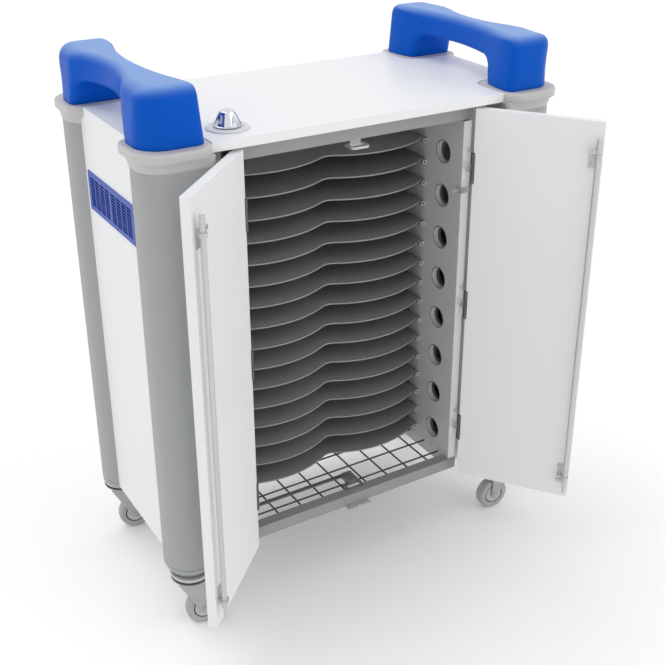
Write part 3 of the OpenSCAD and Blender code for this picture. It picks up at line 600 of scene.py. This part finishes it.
table_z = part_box("top_panel")[1].z
for name, side in (("left", -1), ("right", 1)):
    low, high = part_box("handle_" + name)
    foot_x = (low.x if side < 0 else high.x) - side * outer_half
    foot_y = (low.y + high.y) / 2
    rear = [[(foot_x + side * x, foot_y + y, table_z + z) for x, y, z in ring] for ring in half_bow]
    front = [[(foot_x + side * x, foot_y - y, table_z + z) for x, y, z in ring]
             for ring in half_bow[-2::-1]]
    rings = rear + front
    if side < 0:
        rings = [ring[::-1] for ring in rings]
    handle = skin("handle_bow_" + name, rings, handle_blue, "cart", "handle", smooth=50)
    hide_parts("handle_" + name)


# Vents: two blue grilles pressed into the side panels, moulded with rows of
# narrow slots that let the chargers' heat out of the side compartments.

vent_blue, wire = start("vent_blue")
surface(vent_blue, {
    "Base Color": wire.noise(12, 3.0).mix(paint(14, 62, 166), paint(20, 70, 178)),
    "Roughness": 0.36 + 0.10 * wire.noise(60, 2.0),
    "Normal": wire.relief(wire.noise(1100, 2.0), 0.00004)})

for node in ("vent_left", "vent_right"):
    dress(node, vent_blue, 0.0005)


# Shelves and runners: sixteen sheets with a two-lobed front edge, in dark
# powder-coated steel. They lie on steel tubes fixed along both inner walls,
# whose front ends are coloured a light grey and are not metallic.

shelf_grey, wire = start("shelf_grey")
shelf_speckle = wire.noise(1300, 2.0)
surface(shelf_grey, {
    "Base Color": wire.noise(7, 3.0).mix(paint(142, 142, 143), paint(152, 152, 153)),
    "Roughness": 0.48 + 0.14 * wire.noise(70, 3.0),
    "Normal": wire.relief(shelf_speckle, 0.00008)})

for node in ("shelves_lower", "shelves_upper"):
    dress(node, shelf_grey, 0.0009, 2)

runner_steel, wire = start("runner_steel")
drawn_steel = wire.noise(300, 2.0, (1, 0.03, 1)).mix(paint(150, 151, 153), paint(176, 177, 179))
bright_end = wire.noise(400, 2.0).mix(paint(208, 209, 210), paint(218, 219, 220))
bright_depth = 0.0015
along_tube = wire.beyond("Y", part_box("shelf_runners")[0].y + bright_depth)
surface(runner_steel, {
    "Base Color": along_tube.mix(bright_end, drawn_steel),
    "Metallic": 0.65 * along_tube,
    "Roughness": 0.34 + 0.14 * wire.noise(120, 3.0, (1, 0.05, 1))})
dress("shelf_runners", runner_steel, 0.0006)


# Mesh floor and link bar: welded steel wires under the lowest shelf, and a
# flat bar that lies on them and runs from the left wall to the latch.

wire_black, wire = start("wire_black")
surface(wire_black, {
    "Base Color": wire.noise(180, 3.0).mix(paint(62, 63, 66), paint(84, 85, 88)),
    "Metallic": 0.2,
    "Roughness": 0.40 + 0.15 * wire.noise(300, 3.0)})
dress("mesh_floor", wire_black)

bar_grey, wire = start("bar_grey")
surface(bar_grey, {
    "Base Color": wire.noise(40, 4.0, (0.2, 1, 1)).mix(paint(104, 105, 107), paint(124, 125, 127)),
    "Metallic": 0.35,
    "Roughness": 0.38 + 0.16 * wire.noise(250, 3.0, (0.05, 1, 1))})
dress("link_bar", bar_grey, 0.0006)


# Latch parts: the stirrup under the top rail, the block and stirrup on the
# bottom rail, the plate under it with its two screws, and the sheet catch on
# the right wall. Pressed steel, zinc-plated; the block is darker steel, with
# blotches of painted shade and painted highlight for its recesses and edges.

zinc, wire = start("zinc")
zinc_bloom = wire.noise(130, 4.0)
surface(zinc, {
    "Base Color": zinc_bloom.mix(paint(178, 179, 180), paint(206, 207, 208)),
    "Metallic": 0.5,
    "Roughness": 0.30 + 0.18 * wire.noise(400, 3.0),
    "Normal": wire.relief(wire.noise(900, 2.0), 0.00004)})

latch_steel_painted_shade, wire = start("latch_steel_painted_shade")
surface(latch_steel_painted_shade, {
    # Partly painted: the block's steel is dark, and its strong light and dark blotches are painted
    # shade and highlight standing in for recesses and edges.
    "Base Color": wire.noise(110, 4.0).mix(paint(112, 113, 115), paint(176, 177, 178)),
    "Metallic": 0.5,
    "Roughness": 0.30 + 0.20 * wire.noise(300, 3.0),
    "Normal": wire.relief(wire.noise(700, 2.0), 0.00008)})

for node in ("top_keeper", "keeper_plate", "wall_catch"):
    dress(node, zinc, 0.0007)
dress("bottom_latch", latch_steel_painted_shade, 0.0007)
dress("keeper_screws", zinc, 0.0006)


# Hinges: three slim butt hinges to a door, one leaf let into the inner wall and
# one into the door's edge, turning on loose pins. The frame leaves are coated
# white as far as the knuckles; the knuckles, pins and door leaves are painted
# dark as painted shade, so they sink into the shadow of the gap by the door.

gap_shade_tones = (paint(80, 81, 83), paint(94, 95, 97))
knuckle_shade_start = wall_low.y - 0.0175
leaf_white_shaded_knuckles, wire = start("leaf_white_shaded_knuckles")
leaf_coat = wire.noise(60, 4.0).mix(paint(230, 231, 232), paint(238, 239, 240))
# Painted shade: from the knuckles on, the frame leaves are dark like the shadowed gap.
knuckle_painted_shade = wire.noise(130, 4.0).mix(*gap_shade_tones)
surface(leaf_white_shaded_knuckles, {
    "Base Color": wire.beyond("Y", knuckle_shade_start).mix(knuckle_painted_shade, leaf_coat),
    "Roughness": 0.40 + 0.14 * wire.noise(300, 3.0),
    "Normal": wire.relief(wire.noise(900, 2.0), 0.00004)})
dress("hinge_frame_leaves", leaf_white_shaded_knuckles, 0.0003)

hinge_painted_shade, wire = start("hinge_painted_shade")
surface(hinge_painted_shade, {
    # Painted shade: the pins and door leaves are dark so they sink into the gap's shadow.
    "Base Color": wire.noise(130, 4.0).mix(*gap_shade_tones),
    "Metallic": 0.3,
    "Roughness": 0.42 + 0.16 * wire.noise(400, 3.0),
    "Normal": wire.relief(wire.noise(900, 2.0), 0.00004)})

for node in ("hinge_pins", "door_leaves_left", "door_leaves_right"):
    dress(node, hinge_painted_shade, 0.0003)


# Doors: two white boards hung on the hinges, each with a long locking rod on
# its inner face. The rod turns in the eyes of two brackets, which are screwed
# to the door, and its hooks reach for the keepers.

for node in ("door_left", "door_right"):
    dress(node, white_melamine, board_edge)

rod_steel, wire = start("rod_steel")
surface(rod_steel, {
    "Base Color": wire.noise(220, 3.0, (1, 1, 0.02)).mix(paint(186, 187, 188), paint(208, 209, 210)),
    "Metallic": 0.45,
    "Roughness": 0.32 + 0.12 * wire.noise(500, 2.0, (1, 1, 0.02)),
    "Normal": wire.relief(wire.noise(900, 2.0, (1, 1, 0.01)), 0.00003)})

for side in ("left", "right"):
    dress("rod_" + side, rod_steel, 0.0007)
    dress("rod_brackets_" + side, zinc, 0.0006)
    dress("bracket_screws_" + side, zinc, 0.0006)


# Knob: a chromed cone with four scoops for the fingers, on a round satin
# plate let down on the table top. Its spindle goes through the plate.

chrome, wire = start("chrome")
surface(chrome, {
    "Base Color": paint(214, 216, 220),
    "Metallic": 1.0,
    "Roughness": 0.10 + 0.10 * wire.noise(350, 3.0, (1, 1, 0.1)),
    "Normal": wire.relief(wire.noise(1200, 2.0, (1, 1, 0.05)), 0.00002)})

plate_grey, wire = start("plate_grey")
surface(plate_grey, {
    "Base Color": wire.noise(30, 3.0).mix(paint(206, 207, 208), paint(216, 217, 218)),
    "Roughness": 0.34 + 0.12 * wire.noise(200, 3.0),
    "Normal": wire.relief(wire.noise(900, 2.0), 0.00003)})

knob_low, knob_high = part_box("knob")
knob_centre = (knob_low + knob_high) / 2
knob_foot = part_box("knob_plate")[1].z + 0.0003
knob_foot_r = 0.0259
knob_top_r = 0.0145
knob_height = knob_high.z - knob_foot
knob_sweep = 240
flute_r = 0.0105
flute_out = 0.0265
flute_turns = (20, 110, 200, 290)


def cone_r(height):
    """The knob's radius where no flute cuts it."""
    if height < 0.003:
        return knob_foot_r
    slope = min((height - 0.003) / (knob_height - 0.006), 1)
    return knob_foot_r + (knob_top_r - knob_foot_r) * slope


def fluted(radius, angle):
    """That radius after the four flutes have been milled down into the cone."""
    for turn in flute_turns:
        off = angle - math.radians(turn)
        side = flute_out * math.sin(off)
        if math.cos(off) > 0 and abs(side) < flute_r:
            radius = min(radius, flute_out * math.cos(off) - math.sqrt(flute_r ** 2 - side ** 2))
    return radius


knob_rings = []
for height, tuck in ((0, 0.0008), (0.0008, 0), (0.0026, 0), (0.0033, 0.0006)):
    knob_rings.append((height, tuck, False))
knob_rings += [(0.0034 + (knob_height - 0.0060) * k / 22, 0, True) for k in range(23)]
knob_rings += [(knob_height - 0.0014, 0.0003, True), (knob_height - 0.0005, 0.0012, True),
               (knob_height, 0.0026, True), (knob_height, 0.0075, False),
               (knob_height - 0.0006, 0.0085, False)]
rings = []
for height, tuck, cut_here in knob_rings:
    ring = []
    for k in range(knob_sweep):
        angle = 2 * math.pi * k / knob_sweep
        radius = cone_r(height)
        radius = (fluted(radius, angle) if cut_here else radius) - tuck
        ring.append((knob_centre.x + radius * math.cos(angle),
                     knob_centre.y + radius * math.sin(angle), knob_foot + height))
    rings.append(ring)
knob = skin("lock_knob_cone", rings, chrome, "lock_knob", "knob", smooth=32)
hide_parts("knob")

plate_low, plate_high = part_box("knob_plate")
plate_r = (plate_high.x - plate_low.x) / 2
plate = lathe("knob_rose", rounded([
    (0.0062, plate_low.z), (plate_r, plate_low.z), (plate_r, plate_high.z - 0.0014),
    (plate_r - 0.0040, plate_high.z), (knob_foot_r + 0.006, plate_high.z),
    (knob_foot_r + 0.0045, plate_high.z - 0.0007), (0.0062, plate_high.z - 0.0007)], 0.0008),
    (knob_centre.x, knob_centre.y, 0), plate_grey, "cart", "knob_plate", steps=96)
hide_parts("knob_plate")


# Castors: a round plastic housing under each post, a race, a pressed steel
# fork that swivels below it, and a wheel with a grey rubber tyre on its axle.
# A dark ring fills the groove of each wheel's hub, as painted shade in the groove.

housing_grey, wire = start("housing_grey")
surface(housing_grey, {
    "Base Color": wire.noise(15, 3.0).mix(paint(186, 187, 187), paint(198, 199, 199)),
    "Roughness": 0.38 + 0.12 * wire.noise(80, 3.0),
    "Normal": wire.relief(wire.noise(800, 2.0), 0.00005)})

race_dark, wire = start("race_dark")
surface(race_dark, {
    "Base Color": wire.noise(90, 3.0).mix(paint(84, 85, 87), paint(120, 121, 123)),
    "Metallic": 0.6,
    "Roughness": 0.35 + 0.2 * wire.noise(200, 3.0)})

fork_steel, wire = start("fork_steel")
surface(fork_steel, {
    "Base Color": wire.noise(60, 4.0).mix(paint(160, 161, 162), paint(190, 191, 192)),
    "Metallic": 0.45,
    "Roughness": 0.34 + 0.16 * wire.noise(260, 3.0),
    "Normal": wire.relief(wire.noise(700, 2.0), 0.00004)})

tyre_grey, wire = start("tyre_grey")
surface(tyre_grey, {
    "Base Color": wire.noise(70, 4.0).mix(paint(164, 164, 164), paint(182, 182, 182)),
    "Roughness": 0.62 + 0.16 * wire.noise(150, 3.0),
    "Specular IOR Level": 0.3,
    "Normal": wire.relief(wire.noise(600, 3.0), 0.00010)})

hub_grey, wire = start("hub_grey")
surface(hub_grey, {
    "Base Color": wire.noise(50, 3.0).mix(paint(186, 186, 186), paint(200, 200, 200)),
    "Roughness": 0.40 + 0.12 * wire.noise(90, 3.0),
    "Normal": wire.relief(wire.noise(800, 2.0), 0.00005)})

groove_painted_shade, wire = start("groove_painted_shade")
# Painted shade: a dark ring laid in the hub's groove stands in for the shade there.
surface(groove_painted_shade, {
    "Base Color": wire.noise(120, 3.0).mix(paint(50, 51, 53), paint(64, 65, 67)),
    "Roughness": 0.55 + 0.15 * wire.noise(200, 3.0),
    "Normal": wire.relief(wire.noise(600, 2.0), 0.00004)})

dress("swivel_races", race_dark)


def hull_plan(circles, inset):
    """The outline round several circles, given in turn anticlockwise as (x, y, radius)."""
    turns = []
    for (ax, ay, ar), (bx, by, br) in zip(circles, circles[1:] + circles[:1]):
        span = math.hypot(bx - ax, by - ay)
        dx, dy = (bx - ax) / span, (by - ay) / span
        taper = (ar - br) / span
        level = math.sqrt(1 - taper ** 2)
        turns.append(math.atan2(dy * taper - dx * level, dx * taper + dy * level))
    plan = []
    for i, (x, y, radius) in enumerate(circles):
        first, last = turns[i - 1], turns[i]
        while last < first:
            last += 2 * math.pi
        for k in range(9):
            angle = first + (last - first) * k / 8
            plan.append((x + (radius - inset) * math.cos(angle),
                         y + (radius - inset) * math.sin(angle)))
    return plan


housing_r = ring_r
crown_r = housing_r - 0.0015
housing_low, housing_high = (corner.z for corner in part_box("castor_housings"))
crown_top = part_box("swivel_races")[0].z - 0.0003
arm_in = 0.015
arm_thick = 0.003
arm_circles = [(-0.0255, 0.1155, 0.0045), (0.021, 0.038, 0.0090), (0.0235, 0.1155, 0.0045)]
tyre_r = 0.038
hub_r = 0.025
shade_ring_in = 0.0215
shade_ring_out = 0.0236
shade_ring_half = 0.0106

for mark, (side, end) in corners.items():
    post_centre = middle("post_" + mark)
    axis_place = Vector((post_centre.x + side * castor_out, post_centre.y + end * castor_over, 0))
    wheel_place = middle("hub_" + mark)
    along = Vector((wheel_place.x - axis_place.x, wheel_place.y - axis_place.y, 0)).normalized()
    across = Vector((-along.y, along.x, 0))

    housing = lathe("castor_housing_" + mark, [
        (0.0125, housing_high - 0.002), (0.0125, housing_high), (housing_r - 0.001, housing_high),
        (housing_r, housing_high - 0.001), (housing_r, housing_low + 0.0080),
        (housing_r - 0.0004, housing_low + 0.0055), (housing_r - 0.0016, housing_low + 0.0032),
        (housing_r - 0.0036, housing_low + 0.0014), (housing_r - 0.0062, housing_low + 0.0003),
        (housing_r - 0.0080, housing_low), (0.0062, housing_low)][::-1],
        axis_place, housing_grey, "cart", "castor_plastic", steps=96)
    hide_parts("castor_housings")

    crown = lathe("fork_crown_" + mark, rounded([
        (0.0055, crown_top - 0.0090), (crown_r - 0.0075, crown_top - 0.0090),
        (crown_r - 0.0003, crown_top - 0.0020), (crown_r, crown_top - 0.0004),
        (crown_r - 0.0013, crown_top), (0.0055, crown_top)], 0.0014),
        axis_place, fork_steel, "castor_" + mark, "fork", steps=96)
    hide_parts("fork_" + mark)
    for name, start_at, lie in (("near", arm_in, 1), ("far", -arm_in - arm_thick, -1)):
        rings = []
        for inset, depth in ((0.0010, 0), (0.0002, 0.0003), (0, 0.0010), (0, arm_thick - 0.0012),
                             (0.0004, arm_thick - 0.0004), (0.0014, arm_thick)):
            if lie < 0:
                depth = arm_thick - depth
            rings.append([axis_place + along * x + across * (start_at + depth) + Vector((0, 0, z))
                          for x, z in hull_plan(arm_circles, inset)])
        if lie < 0:
            rings = rings[::-1]
        rings = [ring[::-1] for ring in rings]
        arm = skin("fork_arm_" + name + "_" + mark, rings, fork_steel, "castor_" + mark, "fork")
        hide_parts("fork_" + mark)
    axle = lathe("axle_" + mark, rounded([
        (0.0005, -0.0200), (0.0048, -0.0198), (0.0058, -0.0182), (0.0039, -0.0180),
        (0.0039, 0.0180), (0.0058, 0.0182), (0.0048, 0.0198), (0.0005, 0.0200)], 0.0006),
        wheel_place, fork_steel, "castor_" + mark, "fork", axis=across, steps=32)
    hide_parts("fork_" + mark)

    tyre = lathe("tyre_ring_" + mark, [
        (hub_r, -0.0122), (0.0302, -0.0128), (0.0310, -0.0124), (0.0316, -0.0124),
        (0.0324, -0.0130), (0.0340, -0.0127), (0.0360, -0.0113), (0.0372, -0.0092),
        (0.0378, -0.0065), (tyre_r, -0.0030), (tyre_r, 0.0030), (0.0378, 0.0065),
        (0.0372, 0.0092), (0.0360, 0.0113), (0.0340, 0.0127), (0.0324, 0.0130),
        (0.0316, 0.0124), (0.0310, 0.0124), (0.0302, 0.0128), (hub_r, 0.0122), (hub_r, -0.0122)],
        wheel_place, tyre_grey, "wheel_" + mark, "tyre", axis=across, steps=96, smooth=40,
        ends=(False, False))
    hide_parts("tyre_" + mark)
    half_hub = [(0.0043, 0.0124), (0.0080, 0.0124), (0.0090, 0.0112), (0.0110, 0.0108),
                (0.0204, 0.0114), (0.0212, 0.0108), (0.0214, 0.0088), (0.0237, 0.0088),
                (0.0239, 0.0110), (0.0243, 0.0119), (hub_r, 0.0118)]
    hub = lathe("hub_disc_" + mark,
                [(radius, -w) for radius, w in half_hub] + half_hub[::-1] + [(0.0043, -0.0124)],
                wheel_place, hub_grey, "wheel_" + mark, "hub", axis=across, steps=96,
                ends=(False, False))
    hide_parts("hub_" + mark)
    # The dark ring in the hub's groove is painted shade.
    lathe("hub_groove_shade_" + mark, [(shade_ring_in, -shade_ring_half), (shade_ring_out, -shade_ring_half), (shade_ring_out, shade_ring_half),
                               (shade_ring_in, shade_ring_half), (shade_ring_in, -shade_ring_half)],
          wheel_place, groove_painted_shade, "wheel_" + mark, "hub", axis=across, steps=96,
          ends=(False, False))


# Studio: a wide pale floor and a white room round it. The camera stands where
# the photographer stood, a little above the left front corner.

floor_pale, wire = start("floor_pale")
floor_glow = 0.06
matt = wire.node("BsdfDiffuse", {}, {"Color": paint(249, 249, 249)})
glow = wire.node("Emission", {}, {"Color": (1, 1, 1, 1), "Strength": floor_glow * wire.seen()})
both = wire.node("AddShader", {}, {0: matt, 1: glow})
wire.node("OutputMaterial", {}, {"Surface": both})

floor_half = 30.0
floor_mesh = bpy.data.meshes.new("studio_floor")
floor_mesh.from_pydata([(-floor_half, -floor_half, 0), (floor_half, -floor_half, 0),
                        (floor_half, floor_half, 0), (-floor_half, floor_half, 0)], [], [(0, 1, 2, 3)])
floor_mesh.materials.append(floor_pale)
floor = bpy.data.objects.new("studio_floor", floor_mesh)
bpy.context.scene.collection.objects.link(floor)

room = bpy.data.worlds.new("white_room")
room.use_nodes = True
room.node_tree.nodes.clear()
wire = Wire(room.node_tree)
room_light = 0.78
strength = room_light + (1 - room_light) * wire.seen()
light = wire.node("Background", {}, {"Color": (1, 1, 1, 1), "Strength": strength})
wire.node("OutputWorld", {}, {"Surface": light})
bpy.context.scene.world = room

for name, energy, spread, from_there in (("ceiling_light", 0.80, 50, (-0.28, 0.30, 0.90)),
                                         ("front_fill", 0.55, 60, (0.62, -0.70, 0.35))):
    sun = bpy.data.lights.new(name, "SUN")
    sun.energy = energy
    sun.angle = math.radians(spread)
    lamp = bpy.data.objects.new(name, sun)
    lamp.rotation_euler = Vector(from_there).to_track_quat("Z", "Y").to_euler()
    bpy.context.scene.collection.objects.link(lamp)

view = bpy.data.cameras.new("photo_camera")
view.lens = 58.83
view.sensor_width = 36
view.shift_x = -0.0209
view.shift_y = -0.0453
camera = bpy.data.objects.new("photo_camera", view)
camera.location = (-1.0666, -1.78555, 1.5942)
camera.rotation_euler = (math.radians(64.508), math.radians(-0.1), math.radians(-31.534))
bpy.context.scene.collection.objects.link(camera)
bpy.context.scene.camera = camera
bpy.context.scene.view_settings.view_transform = "Standard"
